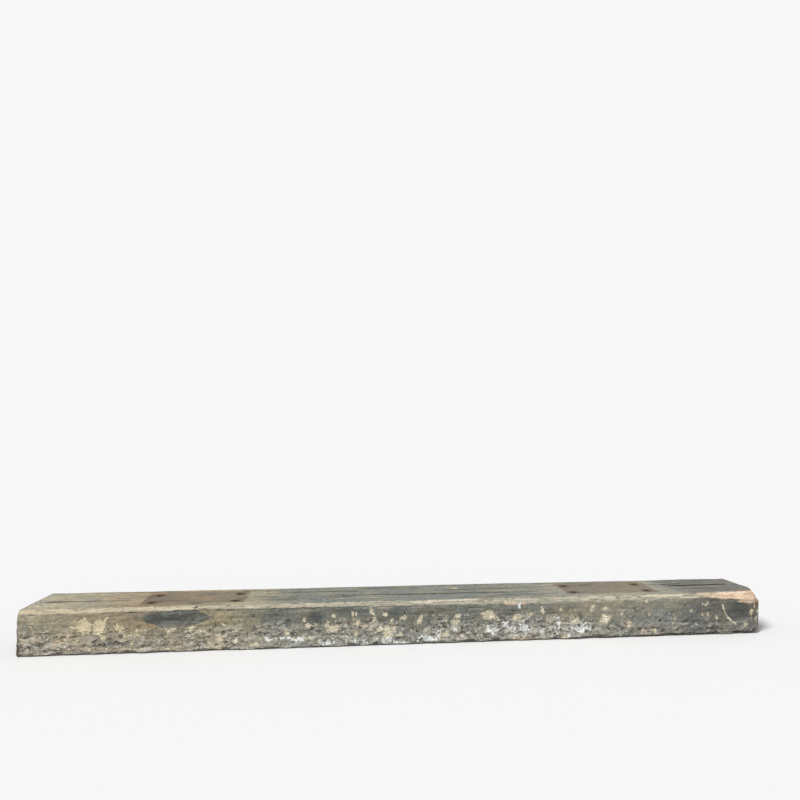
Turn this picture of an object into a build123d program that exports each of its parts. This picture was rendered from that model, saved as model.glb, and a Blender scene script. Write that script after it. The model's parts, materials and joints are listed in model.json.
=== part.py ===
"""A used timber railway sleeper: one sawn length of hardwood, lying on its underside.

X runs along the timber, Y across it and Z up. The origin is the middle of the underside.
The front, at -Y, is the side that shows in the photograph.
All sizes are in millimetres.
"""

import os
from math import cos, radians, sin, sqrt

from build123d import *

# Sawn timber
length = 2600.0
width = 250.0
thickness = 150.0
sawn_edge_radius = 5.0

# Ends, each sawn a little out of square
left_end_skew = 5.0
left_end_lean = 3.0
right_end_lean = 13.0

# Log that the timber was sawn from: its round outside is left as wane on both top edges.
# It tapers from its butt, on the left, and its heart wanders a little from side to side.
heart_height = 60.0
heart_to_front = 123.0
butt_radius = 145.8
tip_radius = 142.3
heart_shifts = (0.6, -0.9, -1.3, 0.8, 1.1, -0.7, -0.2)
log_overhang = 40.0

# Broken corner at the right end of the front: a long split along the top edge,
# a chip off the top corner and a worn upright edge
split_length = 165.0
split_drop = 30.0
split_reach = 31.0
chip_length = 30.0
chip_drop = 50.0
chip_reach = 64.0
upright_wear_length = 38.0
upright_wear_depth = 13.0

# Seats of the two rail base plates, pressed into the top
rail_spacing = 1507.0
plate_length = 345.0
plate_width = 160.0
plate_corner_radius = 10.0
seat_depth = 3.0

# Holes of the coach screws, bored right through, four to a plate
screw_hole_radius = 11.0
screw_spacing_along = 285.0
screw_spacing_across = 100.0

# Drying cracks: the main ones, where the timber gapes along its grain.
# On the top: middle along X, middle across Y, length, width and depth
top_cracks = (
    (-1118, -16, 300, 7.5, 18),
    (-1080, 50, 230, 5.0, 11),
    (-820, -97, 360, 4.5, 9),
    (-390, -52, 300, 5.0, 11),
    (-345, 41, 420, 6.5, 16),
    (-30, 78, 340, 5.0, 11),
    (70, -24, 640, 8.5, 22),
    (330, 27, 400, 6.0, 14),
    (395, -68, 280, 5.0, 10),
    (700, 97, 420, 4.5, 9),
    (1085, -47, 220, 5.0, 10),
    (1112, 14, 300, 8.0, 20),
)

# On each end, like a star round the heart: degrees up from +Y, middle from the heart,
# length, width and depth
left_end_cracks = (
    (48, 52, 64, 3.5, 28),
    (98, 47, 66, 5.0, 42),
    (172, 62, 88, 4.0, 32),
    (225, 40, 48, 3.5, 26),
    (350, 62, 90, 4.0, 34),
)
right_end_cracks = (
    (12, 64, 96, 4.0, 35),
    (80, 46, 64, 5.0, 45),
    (128, 50, 60, 3.5, 26),
    (200, 60, 88, 4.0, 35),
    (318, 36, 44, 3.5, 28),
)
crack_overcut = 1.0

left_end = -length / 2
right_end = length / 2
front = -width / 2
back = width / 2
heart_y = front + heart_to_front

# Three corners of each sawn end, anticlockwise as seen from outside the timber
left_end_corners = (
    (left_end, front, 0),
    (left_end + left_end_lean, front, thickness),
    (left_end + left_end_skew, back, 0),
)
right_end_corners = (
    (right_end, front, thickness),
    (right_end - right_end_lean, front, 0),
    (right_end, back, thickness),
)


def share_along(x):
    """How far along the timber x lies, from 0 at the left end to 1 at the right."""
    return (x - left_end) / length


def log_radius(x):
    """The log tapers evenly from its butt to its tip."""
    return butt_radius + (tip_radius - butt_radius) * share_along(x)


def wane_drop(x):
    """How far below the top the wane starts on the front face."""
    return thickness - heart_height - sqrt(log_radius(x) ** 2 - heart_to_front**2)


def log():
    """The round log, as a smooth body through its sections."""
    pitch = (length + 2 * log_overhang) / (len(heart_shifts) - 1)
    rounds = []
    for section, shift in enumerate(heart_shifts):
        x = left_end - log_overhang + section * pitch
        heart = Vector(x, heart_y + shift, heart_height)
        rounds.append(Plane(heart, z_dir=(1, 0, 0)) * Circle(log_radius(x)))
    return loft(rounds)


def plane_through(a, b, c):
    """The plane through three points that run anticlockwise, as seen from outside."""
    a, b, c = Vector(*a), Vector(*b), Vector(*c)
    return Plane(origin=a, x_dir=b - a, z_dir=(b - a).cross(c - a))


def outside(a, b, c):
    """A slab outside the plane through three points."""
    reach = 4 * width
    return plane_through(a, b, c) * Pos(0, 0, reach / 2) * Box(reach, reach, reach)


def sawn_block():
    """The four-sided block, with its ends as sawn and its long edges worn round."""
    block = Pos(0, 0, thickness / 2) * Box(length, width, thickness)
    long_edges = block.edges().filter_by(Axis.X)
    block = fillet(long_edges, sawn_edge_radius)
    block -= outside(*left_end_corners)
    block -= outside(*right_end_corners)
    return block


def split_corner():
    """What has split off the front's top edge at the right end, along the grain."""
    start = right_end - split_length
    return outside(
        (start, front, thickness - wane_drop(start)),
        (right_end, front, thickness - split_drop),
        (right_end, front + split_reach, thickness),
    )


def corner_chip():
    """What has broken off the top of the right end, beside the split."""
    return outside(
        (right_end - chip_length, front, thickness),
        (right_end, front, thickness - chip_drop),
        (right_end, front + chip_reach, thickness),
    )


def upright_wear():
    """What has worn off the upright edge of the front at the right end."""
    return outside(
        (right_end - upright_wear_length, front, 0),
        (right_end, front + upright_wear_depth, 0),
        (right_end - upright_wear_length, front, thickness),
    )


def plate_seat(x):
    """The shallow seat that a rail's base plate has pressed into the top."""
    outline = RectangleRounded(plate_length, plate_width, plate_corner_radius)
    return Pos(x, 0, thickness - seat_depth) * extrude(outline, 2 * seat_depth)


def screw_holes(x):
    """The four screw holes of one base plate."""
    hole = Cylinder(screw_hole_radius, 2 * thickness)
    places = GridLocations(screw_spacing_along, screw_spacing_across, 2, 2)
    return [Pos(x, 0, thickness / 2) * place * hole for place in places]


def drying_crack(long, wide, deep):
    """What one crack leaves open: widest and deepest in its middle, and nothing at its ends."""
    grown = (deep + crack_overcut) / deep
    half_long = grown * long / 2
    half_wide = grown * wide / 2
    rim = Polygon((-half_long, 0), (0, -half_wide), (half_long, 0), (0, half_wide), align=None)
    bottom = Vertex(0, 0, -deep)
    return loft([Pos(0, 0, crack_overcut) * rim.face(), bottom], ruled=True)


def cracks_in_top():
    """The long cracks in the top, which follow the grain."""
    return [Pos(x, y, thickness) * drying_crack(*sizes) for x, y, *sizes in top_cracks]


def cracks_in_end(corners, cracks):
    """The cracks that spread from the heart over one sawn end."""
    end_plane = plane_through(*corners)
    heart = end_plane.intersect(Axis((0, heart_y, heart_height), (1, 0, 0)))
    opened = []
    for angle, from_heart, *sizes in cracks:
        outwards = (0, cos(radians(angle)), sin(radians(angle)))
        mouth = Plane(heart, x_dir=outwards, z_dir=end_plane.z_dir)
        opened.append(mouth * Pos(from_heart, 0, 0) * drying_crack(*sizes))
    return opened


def sleeper():
    """The whole sleeper, one solid."""
    timber = sawn_block() & log()
    timber -= split_corner()
    timber -= corner_chip()
    timber -= upright_wear()
    for x in (-rail_spacing / 2, rail_spacing / 2):
        timber -= plate_seat(x)
        timber -= screw_holes(x)
    timber -= cracks_in_top()
    timber -= cracks_in_end(left_end_corners, left_end_cracks)
    timber -= cracks_in_end(right_end_corners, right_end_cracks)
    return timber


os.makedirs("parts", exist_ok=True)
timber = sleeper()
timber.label = "sleeper"
export_step(timber, "parts/sleeper.step")
print("volume in litres", round(timber.volume / 1e6, 2))
print("box", timber.bounding_box().min, timber.bounding_box().max)
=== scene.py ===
# %% [markdown]
# # A used railway sleeper
#
# A sleeper is one sawn timber that has lain in stone ballast for decades. This lesson dresses the
# plain solid from the CAD model: first its bruised, worn surface, then the colours of old timber.
# Everything is in metres. X runs along the timber, -Y is its front and Z is up.

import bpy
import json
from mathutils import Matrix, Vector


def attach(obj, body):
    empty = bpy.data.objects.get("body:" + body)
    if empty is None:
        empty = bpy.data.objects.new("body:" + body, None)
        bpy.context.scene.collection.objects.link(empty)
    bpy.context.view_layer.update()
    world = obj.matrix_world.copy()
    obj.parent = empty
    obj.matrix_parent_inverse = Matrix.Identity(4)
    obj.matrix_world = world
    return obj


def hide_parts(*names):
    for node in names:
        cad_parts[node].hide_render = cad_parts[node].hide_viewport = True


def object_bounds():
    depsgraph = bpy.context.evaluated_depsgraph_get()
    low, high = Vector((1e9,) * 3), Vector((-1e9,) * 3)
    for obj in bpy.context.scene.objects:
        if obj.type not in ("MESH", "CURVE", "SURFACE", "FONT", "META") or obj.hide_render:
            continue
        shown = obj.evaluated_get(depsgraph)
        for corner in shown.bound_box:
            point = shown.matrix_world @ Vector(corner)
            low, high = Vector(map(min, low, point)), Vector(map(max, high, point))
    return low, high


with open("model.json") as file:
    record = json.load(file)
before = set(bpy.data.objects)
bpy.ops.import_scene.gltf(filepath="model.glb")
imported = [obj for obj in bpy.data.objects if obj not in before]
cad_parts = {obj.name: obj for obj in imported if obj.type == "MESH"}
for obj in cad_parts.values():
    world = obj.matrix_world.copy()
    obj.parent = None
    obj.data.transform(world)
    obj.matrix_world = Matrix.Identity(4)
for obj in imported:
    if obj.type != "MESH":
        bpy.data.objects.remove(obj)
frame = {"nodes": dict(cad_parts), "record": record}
cad_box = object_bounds()
print("CAD box", [list(corner) for corner in cad_box])

# %% [markdown]
# ## Tools
#
# Nothing here needs more than Blender and numpy. All random numbers come from one source with a
# fixed seed, so that each run gives the same timber.

# %% Tools
import json
import math
import random

import bmesh
import bpy
import numpy as np
from mathutils import Vector, noise
from mathutils.bvhtree import BVHTree

MM = 0.001
tiny = 1e-6
chance = random.Random(1507)
print("Blender", bpy.app.version_string)

# %% [markdown]
# ## The camera
#
# The photograph was taken from a little left of the timber's middle, about two metres in front of
# it, with a wide lens that pointed slightly up. A constraint could aim the camera at a target. A
# place, a turn to the right and a tilt are used here, because each of them can be changed by itself
# while the render is held against the photograph.

# %% Camera
camera_place = (-0.2533, -2.2455, 0.6838)
camera_turn = 5.7
camera_tilt = 4.46
focal_length = 27.0
sensor_width = 36.0

camera_data = bpy.data.cameras.new("photographer")
camera_data.lens = focal_length
camera_data.sensor_width = sensor_width
camera = bpy.data.objects.new("photographer", camera_data)
camera.location = camera_place
camera.rotation_euler = (math.radians(90 + camera_tilt), 0, math.radians(-camera_turn))
bpy.context.scene.collection.objects.link(camera)
bpy.context.scene.camera = camera
print("camera at", camera_place)

# %% [markdown]
# ## The sound timber
#
# The CAD solid already has the timber's real section, wane, broken corner, plate seats, screw
# holes and main drying cracks. Its mesh is made of long thin triangles, though, and a dent needs a
# fine even grid to sink into. A remesh would give one, but would round the edges. So a box of the
# same size is cut into a grid, and each of its points is drawn onto the nearest place on the
# solid. The holes and cracks are closed for that, and cut again afterwards. A crack is easy to
# find: its bottom is the one kind of corner where every edge is hollow.

# %% Where the screw holes are
record = frame["record"]
screw_places = []
for mount in record["mounts"]:
    if mount["kind"] == "bolt_pattern":
        x, y, _ = mount["pos_m"]
        half_along = mount["dims"]["spacing_x_mm"] * MM / 2
        half_across = mount["dims"]["spacing_y_mm"] * MM / 2
        for side in (-1, 1):
            for end in (-1, 1):
                screw_places.append((x + end * half_along, y + side * half_across))
        screw_radius = mount["dims"]["hole_r_mm"] * MM
print(len(screw_places), "screw holes of radius", screw_radius)

# %% A closed copy of the solid
wall_slack = 0.5 * MM
hollow_angle = -0.001
weld_distance = 0.01 * MM


def near_hole(vertex):
    """Whether a vertex is on the wall of a screw hole."""
    return any(
        math.hypot(vertex.co.x - x, vertex.co.y - y) < screw_radius + wall_slack
        for x, y in screw_places
    )


def is_crack_bottom(vertex):
    """Whether every edge round a vertex is hollow."""
    return all(edge.calc_face_angle_signed(0.0) < hollow_angle for edge in vertex.link_edges)


solid = bmesh.new()
solid.from_mesh(frame["nodes"]["sleeper"].data)
bmesh.ops.remove_doubles(solid, verts=solid.verts, dist=weld_distance)
bottoms = [v for v in solid.verts if is_crack_bottom(v)]
main_cracks = [(v.co.copy(), [e.other_vert(v).co.copy() for e in v.link_edges]) for v in bottoms]
bmesh.ops.delete(solid, geom=bottoms, context="VERTS")
walls = [f for f in solid.faces if all(near_hole(v) for v in f.verts)]
bmesh.ops.delete(solid, geom=walls, context="FACES")
rims = [e for e in solid.edges if e.is_boundary]
bmesh.ops.holes_fill(solid, edges=rims, sides=0)
bmesh.ops.triangulate(solid, faces=solid.faces)
skin = BVHTree.FromBMesh(solid)
print("closed copy", len(solid.faces), "faces")
print(len(main_cracks), "cracks and", len(walls), "hole faces taken out")

# %% Where the seats are
level = 0.999
level_slack = 0.1 * MM
seat_height = next(m["pos_m"][2] for m in record["mounts"] if m["name"] == "right_plate_seat")
seat_corners = [
    vertex.co
    for face in solid.faces
    if face.normal.z > level
    for vertex in face.verts
    if vertex.co.x > 0 and abs(vertex.co.z - seat_height) < level_slack
]
seat_start = min(corner.x for corner in seat_corners)
seat_end = max(corner.x for corner in seat_corners)
seat_middle = (seat_start + seat_end) / 2
seat_half_length = (seat_end - seat_start) / 2
seat_half_width = max(corner.y for corner in seat_corners)
print("seat at", seat_middle, "half length", seat_half_length, "half width", seat_half_width)

# %% [markdown]
# ## The grid
#
# The grid's lines are four to six millimetres apart, which is fine enough for a dent as wide as a
# thumb. They could be evenly spaced, but the rims of the two plate seats would then look frayed. So
# lines are also kept just inside and outside those rims.

# %% Grid lines
pitches = (4.7 * MM, 6.3 * MM, 3.7 * MM)
seat_lip = 0.9 * MM


def grid_lines(low, high, pitch, kept=()):
    """Places from low to high, about a pitch apart, with one at each kept place."""
    stops = sorted({low, high, *kept})
    lines = [low]
    for start, end in zip(stops, stops[1:]):
        steps = max(1, round((end - start) / pitch))
        lines += [start + (end - start) * k / steps for k in range(1, steps + 1)]
    return np.array(lines)


def both_sides(middle, half):
    """Two lines at each side of a seat, one at the rim and one at the foot of its wall."""
    edges = [middle - half, middle + half]
    return [edge + shift for edge in edges for shift in (-seat_lip, seat_lip)]


x_kept = both_sides(-seat_middle, seat_half_length) + both_sides(seat_middle, seat_half_length)
y_kept = both_sides(0.0, seat_half_width)
(low_x, low_y, low_z), (high_x, high_y, high_z) = cad_box
lines = [
    grid_lines(low_x, high_x, pitches[0], x_kept),
    grid_lines(low_y, high_y, pitches[1], y_kept),
    grid_lines(low_z, high_z, pitches[2]),
]
print("grid lines", [len(axis_lines) for axis_lines in lines])

# %% The box, cut into the grid
grid = bmesh.new()
bmesh.ops.create_cube(grid, size=1.0)
for axis in range(3):
    edges = [e for e in grid.edges if abs(e.verts[0].co[axis] - e.verts[1].co[axis]) > tiny]
    bmesh.ops.subdivide_edges(grid, edges=edges, cuts=len(lines[axis]) - 2, use_grid_fill=True)
for face in grid.faces:
    face.smooth = True
timber_mesh = bpy.data.meshes.new("sleeper_timber")
grid.to_mesh(timber_mesh)
grid.free()
print("grid", len(timber_mesh.vertices), "points,", len(timber_mesh.polygons), "faces")

# %% [markdown]
# ## Points as arrays
#
# Each point will be moved many times. Python could visit them one by one, but numpy moves all of
# them at once, so they are copied out of the mesh, worked on as rows and written back.

# %% Points and normals as arrays


def read_normals(mesh):
    """The smooth normal at each point, one row each."""
    flat = np.empty(len(mesh.vertices) * 3, dtype=np.float32)
    mesh.vertex_normals.foreach_get("vector", flat)
    return flat.reshape(-1, 3).astype(float)


def read_points(mesh):
    """The mesh's points, one row each."""
    flat = np.empty(len(mesh.vertices) * 3, dtype=np.float32)
    mesh.vertices.foreach_get("co", flat)
    return flat.reshape(-1, 3).astype(float)


def write_points(mesh, points):
    """Puts the points back into the mesh."""
    mesh.vertices.foreach_set("co", points.astype(np.float32).ravel())
    mesh.update()


unit = read_points(timber_mesh)
box = np.empty_like(unit)
for axis in range(3):
    even = np.linspace(-0.5, 0.5, len(lines[axis]))
    box[:, axis] = np.interp(unit[:, axis], even, lines[axis])
print("box from", box.min(axis=0).round(3), "to", box.max(axis=0).round(3))

# %% Draw the grid onto the solid
sound = np.empty_like(box)
facing = np.empty_like(box)
for row, point in enumerate(box):
    place, normal, _, _ = skin.find_nearest(Vector(point))
    sound[row] = place
    facing[row] = normal
write_points(timber_mesh, sound)
print("furthest move", round(float(np.abs(sound - box).max()) / MM, 1), "mm")

# %% Even out the normals
ends = np.array([edge.vertices[:] for edge in timber_mesh.edges])
neighbours = np.bincount(ends.ravel(), minlength=len(sound))[:, None]


def even_out(values, times):
    """Each point's value becomes the mean of its own and its neighbours', several times over."""
    for _ in range(times):
        total = values.copy()
        for here, there in (ends.T, ends.T[::-1]):
            for column in range(values.shape[1]):
                total[:, column] += np.bincount(here, values[there, column], len(values))
        values = total / (neighbours + 1)
    return values


outward = even_out(facing, 2)
outward /= np.linalg.norm(outward, axis=1)[:, None]
print("normals evened out over", len(ends), "edges")

# %% [markdown]
# ## Which side is which
#
# Each side of the timber has had a different life. The long sides and the underside lay against
# stones, the top carried the rail plates, and the rounded wane is where bark once was. Groups could
# be painted by hand, but the box remembers which side each point came from, and the solid's own
# normals tell the wane and the broken corner apart.

# %% Sides
on_front = box[:, 1] <= low_y + tiny
on_back = box[:, 1] >= high_y - tiny
on_top = box[:, 2] >= high_z - tiny
on_under = box[:, 2] <= low_z + tiny
on_left = box[:, 0] <= low_x + tiny
on_right = box[:, 0] >= high_x - tiny
print("points on the front", on_front.sum(), "and on the top", on_top.sum())

# %% The wane and the broken corner
# The wane faces up and to one side. The break faces up and to the front, and is either flatter
# than the wane or turned to the end.
wane_steepest = 0.3
wane_flattest = 0.69
break_start = 1.0
facing_x, facing_y, facing_z = facing.T
wane = (facing_z > wane_steepest) & (facing_z < wane_flattest) & (np.abs(facing_y) > 0.5)
broken = (sound[:, 0] > break_start) & (facing_y < -0.3) & (facing_z > 0.4)
broken &= (facing_z > wane_flattest) | (facing_x > 0.5)
print("points on the wane", wane.sum(), "and on the break", broken.sum())

# %% [markdown]
# ## Dents
#
# A stone that is packed hard against wood leaves a scoop with one steep side, where its edge bit
# in, and a long shallow side. Noise could make lumps, but no scoops with a rim, so each dent is
# pressed in by itself. Where dents overlap, the deeper one wins, and a sharp ridge stays between
# them. That is why the depths are combined with a maximum and not added up.

# %% One dent


class Relief:
    """What has been pressed into one side: its depth, its bruises and its cracks."""

    def __init__(self, members, across):
        self.rows = np.flatnonzero(members)
        self.rows = self.rows[np.argsort(sound[self.rows, 0])]
        self.u = sound[self.rows, 0]
        self.v = sound[self.rows, across]
        self.depth = np.zeros(len(self.rows))
        self.bruise = np.zeros(len(self.rows))
        self.crack = np.zeros(len(self.rows))

    def near(self, u, reach):
        """The points within reach of u along the timber."""
        return slice(*np.searchsorted(self.u, (u - reach, u + reach)))

    def deepen(self, name, near, values):
        """Keeps the larger of what is there and the new values."""
        kept = getattr(self, name)
        kept[near] = np.maximum(kept[near], values)

    def dent(self, u, v, half_u, half_v, depth, pale=0.0, turn=0.0, lean=0.6):
        """Presses one scoop in at u, v. lean is how much steeper its far side is."""
        near = self.near(u, 1.4 * max(half_u, half_v))
        du, dv = self.u[near] - u, self.v[near] - v
        a = (du * math.cos(turn) + dv * math.sin(turn)) / half_u
        b = (dv * math.cos(turn) - du * math.sin(turn)) / half_v
        inside = np.clip(1 - a * a - b * b, -1, 1)
        # The power makes the bowl's walls steeper and its bottom flatter
        bowl = np.clip(inside, 0, 1) ** 0.8 * (1 + lean * a) / (1 + 0.5 * lean)
        self.deepen("depth", near, depth * np.clip(bowl, 0, None))
        self.deepen("bruise", near, pale * (0.5 + 0.5 * inside))

    def check(self, u, v, half_u, half_v, depth, drift):
        """Opens one long crack along the grain, which wanders by drift to one side."""
        near = self.near(u, half_u)
        along = (self.u[near] - u) / half_u
        line = v + drift * along + 0.3 * drift * np.sin(7 * along + u)
        gape = np.clip(1 - np.abs(self.v[near] - line) / half_v, 0, 1)
        # It keeps most of its width until close to its ends
        gape *= np.clip(1 - along**2, 0, 1) ** 0.4
        self.deepen("depth", near, depth * gape)
        self.deepen("crack", near, gape)


front = Relief(on_front, 2)
back = Relief(on_back, 2)
under = Relief(on_under, 1)
top = Relief(on_top, 1)
print("the front runs from", front.u.min().round(3), "to", front.u.max().round(3))

# %% [markdown]
# The ballast reaches up to about two thirds of the timber's height. Below that line the sides are
# chewed all over, and above it the dents are fewer and stand apart. The underside lay in stones
# altogether, and the top only caught a few. No one could tell one such dent from another, so they
# are scattered at random.

# %% Scatter the stones' dents


def stone_dents(relief, count, low, high, fade, size, depth, pale_share):
    """Many dents at random between low and high, shallower towards high by fade.

    size and depth are each the least, the most and the commonest, in millimetres.
    """
    for _ in range(count):
        u = chance.uniform(low_x, high_x)
        share = chance.random()
        v = low + (high - low) * share
        half = chance.triangular(*size) * MM
        relief.dent(
            u,
            v,
            half * chance.uniform(0.9, 1.5),
            half * chance.uniform(0.6, 1.0),
            chance.triangular(*depth) * MM * (1 - fade * share**2),
            pale=chance.uniform(0.6, 1.0) if chance.random() < pale_share else 0.0,
            turn=chance.uniform(-1.2, 1.2) + (math.pi if chance.random() < 0.5 else 0),
            lean=chance.uniform(0.2, 0.9),
        )


for side in (front, back):
    stone_dents(side, 760, 0.0, 0.096, 0.75, (8, 30, 14), (1.5, 8.0, 3.6), 0.03)
    stone_dents(side, 60, 0.070, 0.132, 0.3, (6, 15, 8), (0.8, 3.0, 1.4), 0.06)
stone_dents(under, 1700, low_y, high_y, 0.0, (8, 28, 14), (1.5, 7.0, 3.0), 0.08)
stone_dents(top, 200, low_y, high_y, 0.0, (5, 14, 8), (0.5, 2.5, 1.0), 0.03)
print("deepest on the front", round(front.depth.max() / MM, 1), "mm")

# %% The bruises near the right end are older, and have darkened
old_from = 0.9
old_share = 0.5
front.bruise[front.u > old_from] *= old_share
print("points with old bruises", int((front.bruise[front.u > old_from] > 0).sum()))

# %% [markdown]
# Some dents on the front are large or pale enough to know the timber by. They are placed one by
# one: how far along, how high, half the length, half the height, how deep, how pale and how many
# degrees turned, all in millimetres but the last two.

# %% The front's own marks
front_marks = (
    (-1123, 90, 14, 6, 2.0, 0.9, 0),
    (-1132, 54, 8, 8, 2.0, 0.8, 0),
    (-1090, 92, 22, 27, 3.4, 1.15, 8),
    (-1040, 93, 20, 27, 3.0, 1.1, -20),
    (-1027, 56, 7, 11, 2.0, 0.95, 25),
    (-1027, 112, 16, 6, 1.5, 0.85, 30),
    (-1077, 23, 13, 8, 3.0, 0.8, -20),
    (-988, 40, 8, 6, 2.0, 0.8, 0),
    (-932, 60, 30, 5, 2.0, 0.9, 3),
    (-921, 76, 8, 9, 2.0, 0.85, 30),
    (-932, 35, 11, 8, 2.5, 0.85, 0),
    (-773, 42, 20, 14, 4.0, 0.0, 20),
    (-744, 78, 12, 8, 2.5, 0.9, 20),
    (-719, 71, 11, 15, 2.5, 0.85, -10),
    (-686, 33, 8, 12, 2.5, 0.95, 15),
    (-652, 42, 14, 26, 2.5, 0.85, 5),
    (-642, 90, 9, 6, 1.5, 0.95, -20),
    (-598, 62, 15, 8, 2.5, 0.8, 15),
    (-598, 37, 6, 9, 2.0, 0.85, 0),
    (-540, 131, 6, 5, 1.0, 0.85, 0),
    (-450, 14, 48, 20, 5.0, 0.0, 4),
    (-370, 94, 9, 9, 2.0, 0.95, 0),
    (-289, 86, 6, 6, 1.5, 1.0, 0),
    (-270, 106, 8, 8, 2.0, 1.0, 0),
    (-262, 89, 5, 5, 1.5, 1.0, 0),
    (-274, 62, 24, 12, 2.5, 0.85, 0),
    (-270, 33, 9, 19, 2.5, 0.8, 10),
    (-206, 111, 5, 13, 1.5, 0.95, 0),
    (-193, 110, 4, 11, 1.5, 0.85, 10),
    (-189, 77, 6, 15, 2.0, 0.85, -15),
    (-162, 67, 13, 9, 2.5, 0.75, 20),
    (-165, 38, 19, 19, 5.0, 0.0, 0),
    (-139, 118, 9, 18, 3.0, 1.0, 8),
    (-132, 92, 15, 10, 2.5, 0.9, 25),
    (-93, 106, 12, 8, 2.0, 0.85, 0),
    (-87, 62, 14, 16, 3.0, 0.85, 30),
    (-70, 85, 9, 6, 1.5, 0.85, 40),
    (-41, 33, 13, 11, 2.5, 0.8, 0),
    (-28, 94, 13, 10, 3.0, 0.85, 20),
    (28, 84, 9, 18, 3.5, 0.95, -20),
    (90, 96, 6, 9, 2.0, 0.85, 0),
    (121, 69, 11, 13, 2.5, 0.7, 30),
    (125, 40, 20, 9, 2.0, 0.8, 0),
    (156, 74, 15, 9, 2.5, 0.85, 0),
    (163, 93, 15, 8, 2.0, 0.75, 25),
    (202, 94, 6, 6, 1.5, 0.95, 0),
    (271, 96, 26, 18, 4.0, 1.0, 5),
    (308, 80, 15, 9, 2.0, 0.85, -15),
    (267, 66, 9, 7, 2.0, 0.8, 0),
    (423, 92, 15, 10, 2.5, 0.75, 0),
    (467, 104, 7, 16, 2.5, 1.0, 15),
    (537, 106, 13, 6, 2.0, 0.8, -30),
    (579, 65, 23, 6, 1.5, 0.8, 0),
    (650, 110, 9, 17, 3.0, 0.95, -30),
    (700, 106, 10, 8, 2.0, 0.85, 0),
    (692, 79, 10, 13, 2.5, 0.85, 20),
    (760, 83, 7, 5, 1.5, 0.9, 0),
    (855, 128, 9, 8, 1.5, 0.9, 0),
    (891, 121, 5, 5, 1.5, 0.9, 0),
    (957, 60, 12, 22, 2.5, 0.60, 0),
    (1026, 90, 14, 6, 2.0, 0.68, 10),
    (1071, 112, 5, 6, 1.5, 0.72, -20),
    (1081, 107, 4, 5, 1.5, 0.68, 0),
    (1089, 73, 6, 8, 2.0, 0.95, 0),
    (1122, 62, 5, 9, 1.5, 0.8, 0),
    (1232, 35, 15, 7, 2.5, 0.85, 10),
    (1257, 62, 8, 22, 2.5, 0.7, 0),
    (1274, 98, 6, 14, 1.5, 0.78, 10),
    (1281, 50, 6, 16, 1.5, 0.72, -8),
    (1262, 84, 7, 9, 1.5, 0.7, 20),
    (1290, 76, 5, 9, 1.5, 0.74, 0),
)
for x, z, half_x, half_z, depth, pale, degrees in front_marks:
    row = [value * MM for value in (x, z, half_x, half_z, depth)]
    front.dent(*row, pale=pale, turn=math.radians(degrees), lean=0.4)
print(len(front_marks), "marks on the front")

# %% [markdown]
# Near the right end something was dragged across the front and left a slanting scar, with a dark
# hollow beside its lower half. It is a row of small dents that overlap, along a line that sags.

# %% A slanting scar
scar_start = (1147, 105)
scar_end = (1194, 38)
scar_sag = 7
scar_steps = 12
hollow_steps = range(5, 11)
for step in range(scar_steps + 1):
    t = step / scar_steps
    x = scar_start[0] + t * (scar_end[0] - scar_start[0]) - scar_sag * math.sin(math.pi * t)
    z = scar_start[1] + t * (scar_end[1] - scar_start[1]) - scar_sag * math.sin(math.pi * t)
    turn = math.radians(-75 + 40 * t)
    front.dent(x * MM, z * MM, 6 * MM, (2.6 + 1.4 * t) * MM, 2 * MM, 0.95, turn)
    if step in hollow_steps:
        front.dent((x + 8) * MM, (z + 6) * MM, 8 * MM, 5 * MM, 6 * MM, 0.0, turn)
print("scar from", scar_start, "to", scar_end)

# %% [markdown]
# Timber dries from the outside, so its skin shrinks first and opens along the grain, in cracks
# that are called checks. The widest ones are in the solid. The finer ones beside them could be cut
# in the same way, but only need a furrow each.

# %% Fine drying cracks


def drying_cracks(relief, count, low, high, longest, deepest):
    """Long cracks at random between low and high."""
    for _ in range(count):
        half_u = longest * chance.uniform(0.2, 0.5)
        relief.check(
            chance.uniform(low_x, high_x),
            chance.uniform(low, high),
            half_u,
            chance.uniform(3.2, 4.6) * MM,
            deepest * chance.uniform(0.4, 1.0),
            chance.uniform(-0.02, 0.02) * half_u,
        )


drying_cracks(top, 24, -0.1, 0.1, 0.7, 5 * MM)
drying_cracks(under, 10, -0.1, 0.1, 0.6, 5 * MM)
drying_cracks(back, 6, 0.10, 0.13, 0.22, 2 * MM)
print("cracked points on the top", int((top.crack > 0.3).sum()))

# %% [markdown]
# The seats lay under their plates, the wane stood clear of the ballast, and the corner broke off
# late, so these three have only faint dents. The right end of the front was spared the worst, too.

# %% Gather the sides
seen_depth = 0.3 * MM
depth = np.zeros(len(sound))
bruise = np.zeros(len(sound))
crack = np.zeros(len(sound))
for side in (front, back, under, top):
    depth[side.rows] = np.maximum(side.depth, depth[side.rows])
    bruise[side.rows] = np.maximum(side.bruise, bruise[side.rows])
    crack[side.rows] = np.maximum(side.crack, crack[side.rows])
print("dented points", int((depth > seen_depth).sum()))

# %% Quiet places
quiet_depth = 0.15
quiet_colour = 0.3
seat_margin = 2 * MM
calm_places = (0.7, 0.85)
calm_depths = (1.0, 0.6)
in_seat = np.abs(np.abs(sound[:, 0]) - seat_middle) < seat_half_length + seat_margin
in_seat &= (np.abs(sound[:, 1]) < seat_half_width + seat_margin) & on_top
for quiet in (in_seat, wane, broken):
    depth[quiet] *= quiet_depth
    bruise[quiet] *= quiet_colour
    crack[quiet] *= quiet_colour
calm = on_front & (sound[:, 0] > calm_places[0])
depth[calm] *= np.interp(sound[calm, 0], calm_places, calm_depths)
print("dented points left", int((depth > seen_depth).sum()))

# %% [markdown]
# The sharp lower edges break away in chips, which are long along the grain and short across it. A
# boolean could cut each of them, but moving the few points near an edge does it faster. The edge
# between the front and the wane has lost smaller ones.

# %% Chips off the edges
wane_foot = 0.134


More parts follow.
